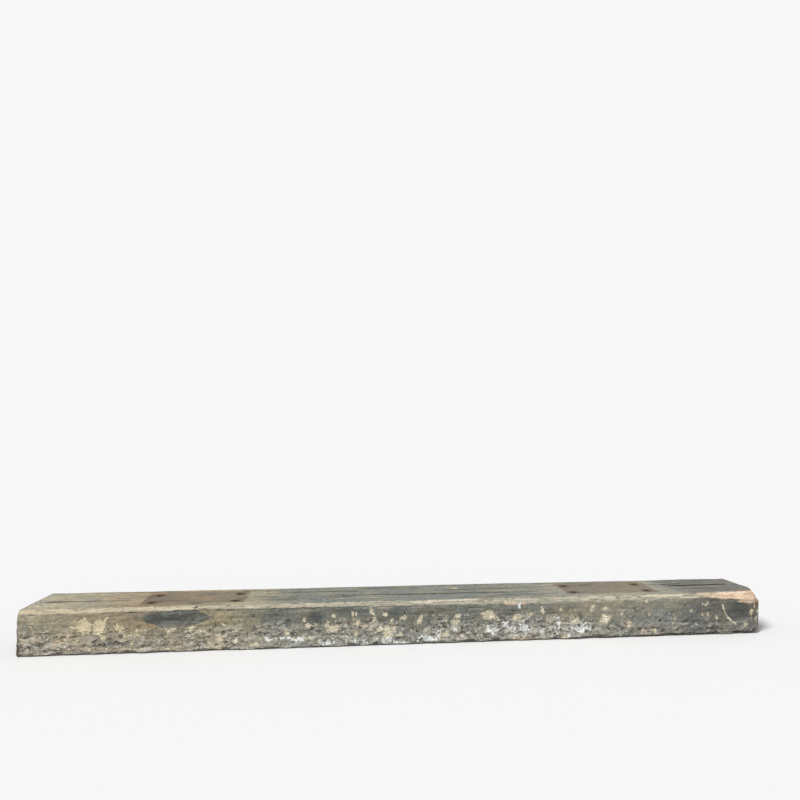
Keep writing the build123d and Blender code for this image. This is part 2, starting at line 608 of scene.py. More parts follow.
def chip_edge(y, z, count, half, deepest):
    """Breaks chips off the long edge at y, z."""
    off_edge = np.hypot(sound[:, 1] - y, sound[:, 2] - z)
    near = np.flatnonzero(off_edge < 2 * half)
    for _ in range(count):
        x = chance.uniform(low_x, high_x)
        long = half * chance.triangular(0.8, 5.0, 1.6)
        wide = half * chance.uniform(0.4, 1.0)
        size = 1 - ((sound[near, 0] - x) / long) ** 2 - (off_edge[near] / wide) ** 2
        chipped = chance.uniform(0.2, 1.0) * deepest * np.clip(size, 0, 1) ** 0.7
        depth[near] = np.maximum(depth[near], chipped)


for y in (low_y, high_y):
    chip_edge(y, low_z, 170, 15 * MM, 7.5 * MM)
chip_edge(low_y, wane_foot, 60, 7 * MM, 2.5 * MM)
print("deepest chip", round(float(depth.max()) / MM, 1), "mm")

# %% [markdown]
# ## Waves, splits and torn fibres
#
# Between the dents the faces aren't flat either. The saw and the years left slow waves, the grain
# opened in furrows along the timber, and the broken corner is torn into long steps. Blender's own
# noise gives each of these when it is sampled with X squeezed, so that its lumps become streaks.
# Points only ever move inwards, so the worn timber stays within the solid's box.

# %% Noise along the grain
smoothness = 0.9
lacunarity = 2.0


def along_grain(points, stretch, size, seed, octaves):
    """Fractal noise from about -1 to 1, in lumps of a size that are stretched along X."""
    # Each seed reads the noise at another place
    shift = Vector((seed * 7.13, seed * 3.71, seed * 5.37))
    scale = Vector((1 / (size * stretch), 1 / size, 1 / size))
    places = [Vector(point) * scale + shift for point in points]
    return np.array([noise.fractal(p, smoothness, lacunarity, octaves) for p in places])


waves = along_grain(sound, 3.0, 90 * MM, 1, 3)
furrows = along_grain(sound, 22.0, 9 * MM, 2, 3)
tears = along_grain(sound, 9.0, 7 * MM, 3, 4)
print("waves from", round(float(waves.min()), 2), "to", round(float(waves.max()), 2))

# %% Move the points inwards
deepest_wave = 2.2 * MM
deepest_tear = 4.5 * MM
deepest_furrow = np.where(wane, 0.5, 1.5) * MM
wave_share = np.where(in_seat, quiet_depth, 1.0) * np.where(on_under, 0.3, 1.0)
wave_depth = (0.5 + 0.5 * np.clip(waves, -1, 1)) * deepest_wave
furrow_depth = np.clip(furrows, 0, 1) * deepest_furrow
tear_depth = np.clip(tears + 0.2, 0, 1) * deepest_tear
inward = depth + np.where(broken, tear_depth, furrow_depth) + wave_depth * wave_share
worn = sound - outward * inward[:, None]
write_points(timber_mesh, worn)
print("mean wear", round(float(inward.mean()) / MM, 2), "mm")

# %% [markdown]
# ## What the surface has been through
#
# The finish needs to know where each thing happened. It could be painted onto a picture, but here
# each point gets a few numbers from 0 to 1, called attributes, and the material blends its colours
# by them. The edges of such a patch are broken up later by finer noise in the material.

# %% Helpers for patches


def patch(x, z, half_x, half_z, point=0.0):
    """A patch of the front that fades from 1 in its middle over 0.5 at its edge to 0.

    With point it is a lens with sharp ends. Without it, it is an oval.
    """
    along = (sound[:, 0] - x * MM) / (half_x * MM)
    up = (sound[:, 2] - z * MM) / (half_z * MM)
    oval = 1 - 0.5 * np.hypot(along, up)
    lens = 1 - 0.5 * (np.abs(up) + along**2)
    return np.clip(oval + point * (lens - oval), 0, 1) * on_front


def store(name, values):
    """Keeps one number for each point of the mesh."""
    attribute = timber_mesh.attributes.new(name, "FLOAT", "POINT")
    attribute.data.foreach_set("value", np.clip(values, 0, 1).astype(np.float32))
    print(f"{name:9s} mean {float(np.mean(values)):.3f}")


# %% [markdown]
# The border of the chewed wood isn't straight. On the front its height is given every ten
# centimetres or so, in millimetres, and elsewhere it only waves about one height.

# %% Where the stones chewed
reach_x = (-1300, -1140, -1000, -780, -700, -640, -520, -430, -330, -270, -150, -60, 20, 80)
reach_x += (150, 250, 330, 430, 500, 560, 650, 760, 860, 950, 1040, 1140, 1200, 1300)
reach_z = (100, 76, 86, 82, 96, 80, 76, 84, 68, 86, 102, 80, 62, 80)
reach_z += (88, 74, 86, 94, 84, 74, 70, 80, 66, 90, 88, 62, 46, 70)
even_border = 0.084
border_waves = 0.012
border_fade = 0.054
chewed_ends = 0.25
chewed_top = 0.05
border = np.interp(sound[:, 0] / MM, reach_x, reach_z) * MM
border = np.where(on_front, border, even_border) + border_waves * np.clip(waves, -1, 1)
chewed = np.clip((border - sound[:, 2]) / border_fade + 0.5, 0, 1)
chewed = np.where(on_front | on_back, chewed, chewed_ends)
chewed = np.where(on_under, 1.0, np.where(on_top | wane, chewed_top, chewed))
print("chewed share", round(float(chewed.mean()), 2))

# %% How hard they struck
vigour_x = (-1.3, 0.62, 0.76, 0.92, 1.02, 1.14, 1.3)
front_vigour = (1.0, 1.0, 0.4, 0.3, 0.5, 0.3, 0.3)
even_vigour = 0.7
vigour = np.where(on_front, np.interp(sound[:, 0], vigour_x, front_vigour), even_vigour)
battered = chewed * vigour
print("battered share", round(float(battered.mean()), 2))

# %% Which places are hollow, and which look up
# Both marks feed the painted light and painted shade of the finish.
hollow = inward - even_out(inward[:, None], 6)[:, 0]
tilt = read_normals(timber_mesh)[:, 2] - outward[:, 2]
print("deepest hollow", round(float(hollow.max()) / MM, 1), "mm")
print("steepest facets", round(float(tilt.min()), 2), "to", round(float(tilt.max()), 2))

# %% [markdown]
# Lime has dried in splashes, mostly on the lower half of the front, and the wood is split raw in a
# few places. Each patch says how far along, how high, half its length and half its height, in
# millimetres. A fifth number makes its ends sharp.

# %% Lime and splits
lime_patches = (
    (-492, 35, 10, 9),
    (-445, 36, 44, 5),
    (-388, 29, 24, 8),
    (-295, 13, 34, 12),
    (-195, 13, 13, 13),
    (-162, 11, 15, 11),
    (-91, 17, 30, 14),
    (-42, 7, 40, 6),
    (24, 22, 10, 16),
    (58, 17, 34, 20),
    (96, 30, 16, 14),
    (229, 36, 7, 15),
    (287, 40, 28, 16),
    (339, 56, 19, 18),
    (364, 30, 16, 18),
    (400, 48, 22, 20),
    (465, 34, 10, 16),
    (512, 40, 12, 20),
    (526, 50, 17, 26),
    (574, 40, 15, 15),
    (617, 38, 32, 17),
    (561, 15, 9, 8),
    (386, 124, 9, 15),
    (152, 48, 12, 12),
)
raw_patches = (
    (352, 132, 30, 7, 0.7),
    (402, 131, 12, 7),
    (395, 3, 75, 7, 0.7),
    (562, 2, 40, 6, 0.7),
    (1268, 118, 66, 9, 0.3),
)
limed = np.max([patch(*row) for row in lime_patches], axis=0)
raw = np.max([patch(*row) for row in raw_patches], axis=0)
print("lime on", int((limed > 0.5).sum()), "points, raw wood on", int((raw > 0.5).sum()))

# %% [markdown]
# Creosote left a patch of tar and a number of dark stains, and rust has spread round the screw
# holes. Here the fifth number of a stain says how dark it is.

# %% Tar, stains and rust
rust_reach = 13 * MM
tarred = patch(-795, 113, 116, 33, 0.7)
stain_patches = (
    (-1090, 122, 50, 12, 0.5),
    (-1008, 34, 48, 8, 0.8),
    (-575, 16, 55, 15, 0.5),
    (-470, 113, 50, 28, 0.55),
    (-335, 106, 30, 34, 0.85),
    (-215, 122, 110, 18, 0.7),
    (-110, 88, 40, 16, 0.55),
    (-60, 112, 55, 24, 0.65),
    (60, 112, 45, 22, 0.55),
    (355, 98, 40, 18, 0.6),
    (500, 98, 50, 20, 0.55),
    (1020, 42, 45, 32, 0.7),
    (1110, 22, 34, 16, 0.6),
    (1110, 98, 70, 30, 0.6),
    (1212, 92, 46, 30, 1.0),
)
stained = np.max([patch(*row[:4]) * row[4] for row in stain_patches], axis=0)
rusty = np.zeros(len(sound))
for x, y in screw_places:
    off_hole = np.hypot(sound[:, 0] - x, sound[:, 1] - y) - screw_radius
    rusty = np.maximum(rusty, np.exp(-np.clip(off_hole, 0, None) / rust_reach) * on_top)
print("tar on", int((tarred > 0.5).sum()), "points, stains on", int((stained > 0.5).sum()))

# %% Store the patches
hollow_range = 3.0 * MM
faces_end = 0.6
store("chewed", chewed)
store("battered", battered)
store("hollow", 0.5 + hollow / hollow_range)
store("upward", 0.5 + tilt)
store("bruise", bruise)
store("crack", crack)
store("wane", even_out(wane.astype(float)[:, None], 3)[:, 0])
store("tar", tarred)
store("stain", stained)
store("rusty", rusty)
store("seat", in_seat.astype(float))
store("sawn_end", (on_left | on_right) & (np.abs(outward[:, 0]) > faces_end))
store("lime", limed)
store("split", np.maximum(broken, raw))

# %% [markdown]
# ## Screw holes and main cracks
#
# The holes are bored through the finished surface, so their rims are ragged where a dent meets
# them. A boolean cut does that in one step, with one mesh that has a cylinder for each hole. The
# points that lie on the cutting mesh afterwards are the walls of the cut, and get a mark.

# %% Cut a form out
touching = 0.02 * MM
timber = bpy.data.objects.new("sleeper_timber", timber_mesh)
bpy.context.scene.collection.objects.link(timber)


def cut_out(form, mark):
    """Cuts a form out of the timber, and sets the mark on the points of the cut to 1."""
    tool = bpy.data.objects.new(mark, bpy.data.meshes.new(mark))
    form.to_mesh(tool.data)
    bpy.context.scene.collection.objects.link(tool)
    cut = timber.modifiers.new(mark, "BOOLEAN")
    cut.operation = "DIFFERENCE"
    cut.solver = "MANIFOLD"
    cut.object = tool
    shaped = timber.evaluated_get(bpy.context.evaluated_depsgraph_get())
    mesh = bpy.data.meshes.new_from_object(shaped)
    timber.modifiers.clear()
    timber.data = mesh
    bpy.data.objects.remove(tool)
    walls = BVHTree.FromBMesh(form)
    form.free()
    attribute = mesh.attributes.get(mark) or mesh.attributes.new(mark, "FLOAT", "POINT")
    for row, point in enumerate(read_points(mesh)):
        if walls.find_nearest(Vector(point), touching)[0]:
            attribute.data[row].value = 1.0
    mesh.calc_loop_triangles()
    print("after the", mark, "cut", len(mesh.loop_triangles), "triangles")


# %% Bore the holes
drill_sides = 28
drill_length = 0.2
half_height = (low_z + high_z) / 2
drills = bmesh.new()
for x, y in screw_places:
    made = bmesh.ops.create_cone(
        drills,
        cap_ends=True,
        segments=drill_sides,
        radius1=screw_radius,
        radius2=screw_radius,
        depth=drill_length,
    )
    bmesh.ops.translate(drills, verts=made["verts"], vec=(x, y, half_height))
cut_out(drills, "bore")

# %% [markdown]
# In the solid a main crack is a plain wedge. A real one wanders with the grain, and its lips are
# torn. So the knife for it is a three-sided bar, cut into short lengths, that is laid along the
# crack with one edge at its bottom, and each of its points is then pushed a little by noise.

# %% A knife for one crack
knife_pitch = 9 * MM
knife_rise = 2.5 * MM
tear_size = 14 * MM
wander_size = 80 * MM
wander_reach = 3.0 * MM
print("a knife bends every", round(knife_pitch / MM), "mm")


def add_crack(form, bottom, rim, seed):
    """Adds the knife for one crack, from the solid's bottom corner and the four on its rim."""
    by_distance = sorted(rim, key=lambda corner: (corner - bottom).length)
    left_lip, right_lip, first_end, second_end = by_distance
    middle = (first_end + second_end) / 2
    along = (second_end - first_end) / 2
    across = (right_lip - left_lip) / 2
    down = bottom - middle
    lift = knife_rise / down.length
    start = len(form.verts)
    bmesh.ops.create_cone(form, cap_ends=True, segments=3, radius1=1, radius2=1, depth=2)
    form.verts.ensure_lookup_table()
    foot = [v for v in form.verts[start:] if v.co.z < 0]
    bars = [e for v in foot for e in v.link_edges if e.other_vert(v).co.z > 0]
    cuts = round(along.length / knife_pitch)
    bmesh.ops.subdivide_edges(form, edges=bars, cuts=cuts, use_grid_fill=True)
    form.verts.ensure_lookup_table()
    for vertex in form.verts[start:]:
        s = vertex.co.z
        side = round(vertex.co.x)
        reach = s * along.length
        gape = (1 - min(abs(s), 1)) ** 0.75
        ragged = 1 + 0.9 * noise.noise(Vector((reach / tear_size, seed, side)))
        # The 9 keeps this noise apart from the one before
        wander = wander_reach * noise.noise(Vector((reach / wander_size, seed, 9)))
        place = middle + s * along + wander * across.normalized()
        if side:
            vertex.co = place + side * (gape * ragged + lift) * across - lift * down
        else:
            vertex.co = place + gape * ragged * down


# %% Open the cracks
seed_step = 1.7
knives = bmesh.new()
for number, (bottom, rim) in enumerate(main_cracks):
    add_crack(knives, bottom, rim, seed_step * number)
bmesh.ops.recalc_face_normals(knives, faces=knives.faces)
cut_out(knives, "crack")

# %% [markdown]
# ## Sums on sockets
#
# A material is a network of nodes, and long sums are hard to read as boxes and wires. This small
# class wraps one socket, so that a sum can be written as a sum. Each operator adds a Math node,
# also where the number comes first, as in 1 - mask.

# %% Wires


class Wire:
    """A socket of a network. Sums, products and differences of wires add Math nodes."""

    def __init__(self, network, socket):
        self.network = network
        self.socket = socket

    def other(self, output):
        """Another output of the same node."""
        return Wire(self.network, self.socket.node.outputs[output])

    def reckon(self, operation, first, second):
        """One sum, as a Math node."""
        return self.network.add("ShaderNodeMath", {"operation": operation}, {0: first, 1: second})

    def __add__(self, other):
        return self.reckon("ADD", self, other)

    def __radd__(self, other):
        return self.reckon("ADD", other, self)

    def __sub__(self, other):
        return self.reckon("SUBTRACT", self, other)

    def __rsub__(self, other):
        return self.reckon("SUBTRACT", other, self)

    def __mul__(self, other):
        return self.reckon("MULTIPLY", self, other)

    def __rmul__(self, other):
        return self.reckon("MULTIPLY", other, self)


print("reflected operators:", [name for name in vars(Wire) if name.startswith("__r")])

# %% [markdown]
# ## Networks
#
# The timber, the floor and the studio's light each have a network of nodes. One method adds any
# node: its type, its settings, and what goes into its sockets. Settings come first, because some
# of them change which sockets a node has.

# %% A network and its nodes


class Network:
    """A tree of nodes, with one method that adds any node to it."""

    def __init__(self, tree):
        self.tree = tree

    def add(self, kind, settings, inputs, output=0):
        """Adds a node: its settings first, then the values or wires of its sockets."""
        node = self.tree.nodes.new(kind)
        for name, value in settings.items():
            if name == "stops":
                self.set_stops(node.color_ramp, value)
            else:
                setattr(node, name, value)
        for socket, value in inputs.items():
            if isinstance(value, Wire):
                self.tree.links.new(value.socket, node.inputs[socket])
            else:
                node.inputs[socket].default_value = value
        return Wire(self, node.outputs[output])

    def set_stops(self, ramp, stops):
        """Gives a colour ramp its stops, each a place from 0 to 1 and a colour."""
        while len(ramp.elements) < len(stops):
            ramp.elements.new(0.5)
        for element, (place, colour) in zip(ramp.elements, stops):
            element.position = place
            element.color = colour

    def ramp(self, wire, low, high, top=1.0):
        """0 below low, top above high, and smooth between."""
        inputs = {"Value": wire, "From Min": low, "From Max": high, "To Max": top}
        return self.add("ShaderNodeMapRange", {"interpolation_type": "SMOOTHSTEP"}, inputs)

    def seen(self):
        """1 or more where the eye sees it, straight or by a mirror or glass, and else 0."""
        rays = self.add("ShaderNodeLightPath", {}, {}, "Is Camera Ray")
        return rays + rays.other("Is Glossy Ray") + rays.other("Is Transmission Ray")

    def report(self, step):
        """Prints how large the network is after a step."""
        print(f"{step}: {len(self.tree.nodes)} nodes")


# %% [markdown]
# A finish is the network of one material. Its methods are the few steps that the whole surface is
# made of: noise, marks from the mesh, blends of two colours, and lines where a noise crosses a level.

# %% A finish and its steps


class Finish(Network):
    """The network of one material, which ends in its surface."""

    def __init__(self, name):
        self.material = bpy.data.materials.new(name)
        self.material.use_nodes = True
        super().__init__(self.material.node_tree)
        self.surface = self.tree.nodes["Principled BSDF"]

    def feed(self, socket, wire):
        """Links a wire to a socket of the surface."""
        self.tree.links.new(wire.socket, self.surface.inputs[socket])

    def mark(self, name):
        """An attribute of the mesh."""
        return self.add("ShaderNodeAttribute", {"attribute_name": name}, {}, "Fac")

    def noise(self, place, scale, detail=4.0, roughness=0.55):
        """Cloudy noise, mostly between 0.3 and 0.7."""
        inputs = {"Vector": place, "Scale": scale, "Detail": detail, "Roughness": roughness}
        return self.add("ShaderNodeTexNoise", {}, inputs)

    def blend(self, share, first, second):
        """From the first colour to the second by share."""
        inputs = {0: share, 6: first, 7: second}
        return self.add("ShaderNodeMix", {"data_type": "RGBA"}, inputs, 2)

    def tones(self, share, stops):
        """A colour that runs through the stops by share."""
        return self.add("ShaderNodeValToRGB", {"stops": stops}, {"Fac": share})

    def vector(self, operation, first, second):
        """One sum on two vectors or colours."""
        return self.add("ShaderNodeVectorMath", {"operation": operation}, {0: first, 1: second})

    def shade(self, colour, level):
        """The colour made lighter or darker by level."""
        start = colour if isinstance(colour, Wire) else colour[:3]
        inputs = {0: start, "Scale": level}
        return self.add("ShaderNodeVectorMath", {"operation": "SCALE"}, inputs)

    def stretch(self, place, x, y, z):
        """The place with its axes scaled, so that noise runs along the grain."""
        return self.vector("MULTIPLY", place, (x, y, z))

    def bend(self, place, scale, reach):
        """The place pulled about by noise, so that what is built on it isn't regular."""
        cloud = self.add("ShaderNodeTexNoise", {}, {"Vector": place, "Scale": scale}, "Color")
        centred = self.vector("SUBTRACT", cloud, (0.5, 0.5, 0.5))
        return self.vector("ADD", place, self.shade(centred, reach))

    def line(self, wire, middle, half):
        """1 where the wire is within half of middle, with soft edges, else 0."""
        away = self.add("ShaderNodeMath", {"operation": "ABSOLUTE"}, {0: wire - middle})
        return self.ramp(away, half, 0.4 * half)


print("steps of a finish:", [name for name in vars(Finish) if not name.startswith("_")])

# %% [markdown]
# The colours are written as they look on a screen, from 0 to 255. Light is reckoned on another
# scale, on which middle grey is about a fifth of white, so each colour is turned into light first.

# %% Colours


def tint(red, green, blue):
    """A colour from its 0 to 255 values on a screen, as light."""

    def light(value):
        value /= 255
        return value / 12.92 if value <= 0.04045 else ((value + 0.055) / 1.055) ** 2.4

    return (light(red), light(green), light(blue), 1.0)


print("mid grey as light", [round(v, 3) for v in tint(128, 128, 128)])

# %% [markdown]
# ## Old timber
#
# The finish is built in the order in which it happened: the wood and its grain, then painted light
# on what stands proud and painted shade in the hollows, then flakes, chips and dust, and last the
# bruises, tar, lime and fresh splits. It could all be painted as a picture, but a picture has one
# scale, and noise is as sharp from near as from far.
#
# Noises that follow the grain are stretched along X. Those of the crushed wood are pulled about
# first. A noise stays near 0.5, and its swing is how far it is from there. A swing that is added to
# the mark of a patch makes its edge ragged.

# %% Noises
aged = Finish("weathered timber")
place = aged.add("ShaderNodeTexCoord", {}, {}, "Object")
grain = aged.bend(place, 7.0, 25 * MM)
bent = aged.bend(place, 38.0, 34 * MM)
torn = aged.bend(bent, 170.0, 9 * MM)
clouds = aged.noise(aged.stretch(place, 3.0, 9, 9), 1.0, 4, 0.55)
streaks = aged.noise(aged.stretch(grain, 2.0, 75, 75), 1.0, 6, 0.62)
fibres = aged.noise(aged.stretch(grain, 13, 330, 330), 1.0, 4, 0.7)
slivers = aged.noise(aged.stretch(grain, 26, 150, 150), 1.0, 5, 0.66)
mottle = aged.noise(aged.stretch(bent, 26, 40, 40), 1.0, 8, 0.60)
hues = aged.noise(aged.stretch(bent, 12, 18, 18), 1.0, 3, 0.5)
scratches = aged.noise(aged.stretch(bent, 150, 150, 28), 1.0, 3, 0.6)
crumbs = aged.noise(torn, 140.0, 6, 0.7)
specks = aged.noise(torn, 210.0, 4, 0.7)
splashes = aged.noise(torn, 88.0, 2.5, 0.5)
grit = aged.noise(place, 420.0, 3, 0.6)
aged.report("noises")

# %% Swings and places
mottle_swing = mottle - 0.5
crumb_swing = crumbs - 0.5
fibre_swing = fibres - 0.5
scratch_swing = scratches - 0.5
along = aged.add("ShaderNodeSeparateXYZ", {}, {"Vector": place}, "X")
height_up = along.other("Z")
battered_mark = aged.mark("battered")
aged.report("swings")

# %% [markdown]
# ## Tones along the timber
#
# Creosote soaked in unevenly, and the weather took it out unevenly, so the timber goes from warm
# brown at its left end over grey to a dark green grey at its right. Two colour ramps hold those
# tones along X, one for the smooth wood and one for the wood that the stones crushed.

# %% Tones
share = along * 0.385 + 0.5 + 0.14 * (clouds - 0.5)
smooth_stops = (
    (0.00, tint(164, 158, 136)),
    (0.15, tint(154, 138, 112)),
    (0.28, tint(162, 153, 126)),
    (0.33, tint(126, 127, 116)),
    (0.60, tint(127, 127, 117)),
    (0.78, tint(154, 148, 129)),
    (0.86, tint(145, 143, 128)),
    (0.91, tint(114, 112, 103)),
)
chewed_stops = (
    (0.00, tint(176, 163, 138)),
    (0.13, tint(160, 149, 126)),
    (0.25, tint(170, 160, 135)),
    (0.33, tint(142, 140, 128)),
    (0.42, tint(154, 151, 138)),
    (0.52, tint(138, 136, 126)),
    (0.72, tint(156, 153, 140)),
    (0.86, tint(140, 138, 129)),
    (0.92, tint(121, 119, 112)),
)
smooth_tone = aged.tones(share, smooth_stops)
chewed_tone = aged.tones(share, chewed_stops)
aged.report("tones")

# %% [markdown]
# The smooth wood shows its grain. The crushed wood stands up in folded flakes, which are lumpy along
# most of the timber and long like shreds at the left, where the fibres have parted. Both kinds
# are the tone of their place, shaded by several noises at once.

# %% Smooth wood
smooth_level = 0.6 * streaks + 0.6 * fibres + 0.7 * mottle
smooth_level = smooth_level + 1.3 * crumbs + 0.5 * hues + 1.0 * splashes
smooth_wood = aged.shade(smooth_tone, smooth_level - 1.33)
aged.report("smooth wood")

# %% Chewed wood
fibrous = aged.ramp(along, -0.55, -0.80)
lumpy_folds = aged.noise(aged.stretch(bent, 26, 44, 44), 1.0, 3, 0.5)
shreds = aged.noise(aged.stretch(bent, 9, 62, 62), 1.0, 3, 0.5)
folds = lumpy_folds + fibrous * (shreds - lumpy_folds)
lumps = crumbs + fibrous * (slivers - crumbs)
chewed_level = 1.3 * mottle + 0.9 * lumps + 0.1 * specks
chewed_level = chewed_level + 0.1 * grit + 0.7 * hues + 0.9 * folds
busy = aged.ramp(along, 0.90, 0.75, 0.45) + 0.55
chewed_wood = aged.shade(chewed_tone, 1.04 + busy * (chewed_level - 2.0))
aged.report("chewed wood")

# %% Smooth above, chewed below
chewed_edge = aged.mark("chewed") + 1.6 * mottle_swing + 0.8 * (folds - 0.5)
chewed_share = aged.ramp(chewed_edge, 0.40, 0.60)
wood = aged.blend(chewed_share, smooth_wood, chewed_wood)
parted = 0.6 * fibrous * chewed_share * aged.line(slivers, 0.46, 0.02)
wood = aged.blend(parted, wood, tint(66, 60, 52))
casts = aged.blend(aged.ramp(hues, 0.38, 0.62), (0.96, 1.0, 1.04, 1.0), (1.05, 1.0, 0.94, 1.0))
wood = aged.vector("MULTIPLY", wood, casts)
aged.report("wood")

# %% [markdown]
# ## Stains, painted light and painted shade
#
# What faces up and stands proud gets painted light, and what is hollow or overhung gets painted
# shade. The mesh knows both for each of its points, so the light and the shade of a dent are in the
# right place, as they would not be with noise alone. Stains are where creosote stayed in the wood.

# %% Stains
stain_share = aged.ramp(aged.mark("stain") + 0.6 * mottle_swing, 0.25, 0.80, 0.85)
stain_tone = aged.shade(tint(80, 83, 79), 0.3 + 0.6 * streaks + 0.8 * crumbs)
wood = aged.blend(stain_share, wood, stain_tone)
aged.report("stains")

# %% Painted light on what faces up and stands proud, painted shade in hollows and under overhangs
hollow_mark = aged.mark("hollow")
upward_mark = aged.mark("upward")
# Painted light: facets that face up are made paler, as if lit from above.
wood = aged.blend(aged.ramp(upward_mark, 0.56, 0.80, 0.55), wood, tint(200, 191, 170))
# Painted shade: facets that face down are made darker, more so on the crushed wood.
overhung_shade = aged.ramp(upward_mark, 0.44, 0.18, 0.65) * (0.5 + 0.5 * chewed_share)
wood = aged.blend(overhung_shade, wood, tint(58, 55, 50))
# Painted shade in the hollows, and painted light on what stands proud.
wood = aged.blend(aged.ramp(hollow_mark, 0.58, 0.9, 0.60), wood, tint(60, 57, 52))
wood = aged.blend(aged.ramp(hollow_mark, 0.42, 0.1, 0.45), wood, tint(194, 186, 164))
aged.report("weather")

# %% [markdown]
# ## Folded flakes
#
# Crushed fibres lift in flakes, with a crevice under each and a lip beside it. The crevice gets
# painted shade and the lip a painted highlight. Flakes are too fine for the mesh. A line where a
# noise crosses one level runs in closed curves, as such crevices do, and the same noise at a level a
# little higher gives the lip that belongs to it.

# %% Crevices with painted shade, lips with painted highlight
crowd = aged.ramp(clouds + 0.9 * mottle_swing, 0.47, 0.55)
chosen = crowd * chewed_share * battered_mark * busy
shaded_crevice = aged.line(folds, 0.5, 0.028) * chosen * aged.ramp(crumbs, 0.36, 0.48)
lip_highlight = aged.line(folds, 0.560, 0.036) * chosen * aged.ramp(crumbs, 0.38, 0.48)
# A painted highlight on each lip, and painted shade in each crevice.
wood = aged.blend(0.65 * lip_highlight, wood, tint(220, 211, 192))
wood = aged.blend(0.80 * shaded_crevice, wood, tint(58, 55, 51))
aged.report("flakes")

# %% [markdown]
# ## Chips, pits and dust
#
# Between the flakes lie loose pale chips, each in its own tone and partly a painted highlight on
# raised fibres, and small dark pits. A Voronoi pattern has a random number for each of its cells, so
# a share of the cells is picked by one number, and sized and coloured by two others. Stone dust
# clings in specks, and more of it towards the foot.

# %% Chips and pits


def flakes(place, scale, share, smallest, largest):
    """Ragged flakes in a share of the cells of a pattern, and a random number for each."""
    near = aged.add("ShaderNodeTexVoronoi", {}, {"Vector": place, "Scale": scale})
    own = aged.add("ShaderNodeSeparateXYZ", {}, {"Vector": near.other("Color")}, "X")
    size = smallest + (largest - smallest) * own.other("Y")
    there = aged.ramp(share - own, 0.0, 0.02)
    return there * aged.ramp(size - near, 0.0, 0.06), own.other("Z")


small_share = 0.003 + battered_mark * (0.04 + 0.12 * crowd)
large_share = 0.003 + battered_mark * (0.08 + 0.28 * crowd)
small_chips_and_glints, small_own = flakes(torn, 100.0, small_share, 0.25, 0.6)
large_chips_and_glints, large_own = flakes(torn, 48.0, large_share, 0.15, 0.5)
pits, _ = flakes(torn, 70.0, 0.03 + 0.13 * battered_mark, 0.1, 0.45)
aged.report("chips and pits")

# %% Their colours
chip_and_glint_stops = (
    (0.0, tint(236, 229, 208)),
    (0.4, tint(222, 210, 184)),
    (0.7, tint(212, 190, 164)),
    (1.0, tint(222, 222, 214)),
)
small_chip_and_glint_tone = aged.shade(aged.tones(small_own, chip_and_glint_stops), 0.2 + 0.7 * mottle + 0.7 * crumbs)
large_chip_and_glint_tone = aged.shade(aged.tones(large_own, chip_and_glint_stops), 0.1 + 1.0 * crumbs + 0.8 * scratches)
wood = aged.blend(0.85 * pits, wood, tint(56, 53, 47))
# Pale chips, in part painted highlights on raised fibres.
wood = aged.blend(0.7 * small_chips_and_glints, wood, small_chip_and_glint_tone)
wood = aged.blend(0.85 * large_chips_and_glints, wood, large_chip_and_glint_tone)
aged.report("chip colours")

# %% Dust
dust_share = battered_mark * (0.10 - 0.8 * height_up)
dust = aged.ramp(specks + dust_share, 0.60, 0.64) * (0.08 + 0.92 * battered_mark)
wood = aged.blend(0.6 * dust, wood, tint(227, 224, 211))
aged.report("dust")

# %% [markdown]
# ## Bruises
#
# Where a stone's edge scraped the dark skin off, fresh pale wood shows, with a torn outline and a
# rim of painted shade. The mesh says roughly where. The outline is made by three noises of different
# sizes, because one alone looks like a cloud.

# %% Bruises
bruise_edge = aged.mark("bruise") + 1.6 * mottle_swing
bruise_edge = bruise_edge + 2.0 * crumb_swing + 1.2 * scratch_swing
bruise_share = aged.ramp(bruise_edge, 0.51, 0.68)
# A rim of painted shade round each bruise.
wood = aged.blend(0.55 * aged.line(bruise_edge, 0.49, 0.05), wood, tint(66, 62, 54))
fresh = aged.blend(aged.ramp(scratches, 0.40, 0.62), tint(246, 237, 208), tint(200, 187, 154))
fresh = aged.blend(aged.ramp(hues, 0.54, 0.64, 0.5), fresh, tint(228, 204, 176))
fresh = aged.blend(aged.ramp(along, -0.85, -1.0, 0.5), fresh, tint(232, 211, 166))
fresh = aged.shade(fresh, 0.1 + 0.4 * mottle + 0.9 * crumbs + 0.6 * scratches)
wood = aged.blend(0.90 * bruise_share, wood, fresh)
aged.report("bruises")

# %% [markdown]
# ## Tar and lime
#
# One patch of tar has soaked into the front at the left, thinner towards its foot. Lime has washed
# out of the ballast and dried white on the crushed wood. Tar is smooth-edged, so its mark carries
# it with little noise. Lime is splashed, so noise decides, and its mark only lets it through.

# %% Tar
tar_share = aged.ramp(aged.mark("tar") + 0.5 * mottle_swing + 0.2 * crumb_swing, 0.49, 0.54)
tar_level = aged.ramp(mottle + 0.8 * (slivers - 0.5), 0.40, 0.60)
tar_tone = aged.blend(tar_level, tint(76, 79, 76), tint(110, 113, 106))
foot = aged.ramp(height_up + 0.03 * mottle_swing, 0.104, 0.096)
thin = foot * aged.ramp(along, -0.85, -0.82)
tar_tone = aged.blend(0.7 * thin, tar_tone, tint(136, 132, 120))
tar_tone = aged.blend(0.8 * aged.line(folds, 0.5, 0.012), tar_tone, tint(48, 50, 50))
tar_tone = aged.shade(tar_tone, 1.1 * slivers + 1.0 * crumbs - 0.05)
wood = aged.blend(0.92 * tar_share, wood, tar_tone)
aged.report("tar")

# %% Lime
lime_share = aged.ramp(0.50 * aged.mark("lime") + splashes, 0.822, 0.848)
lime_tone = aged.shade(tint(245, 245, 238), 0.6 + 0.8 * crumbs)
wood = aged.blend(0.95 * lime_share, wood, lime_tone)
aged.report("lime")

# %% [markdown]
# ## Wane
#
# The round outside of the log was never sawn. It has weathered to pale straw, with long dark checks
# along its grain, and its lower edge is frayed where it meets the sawn face.

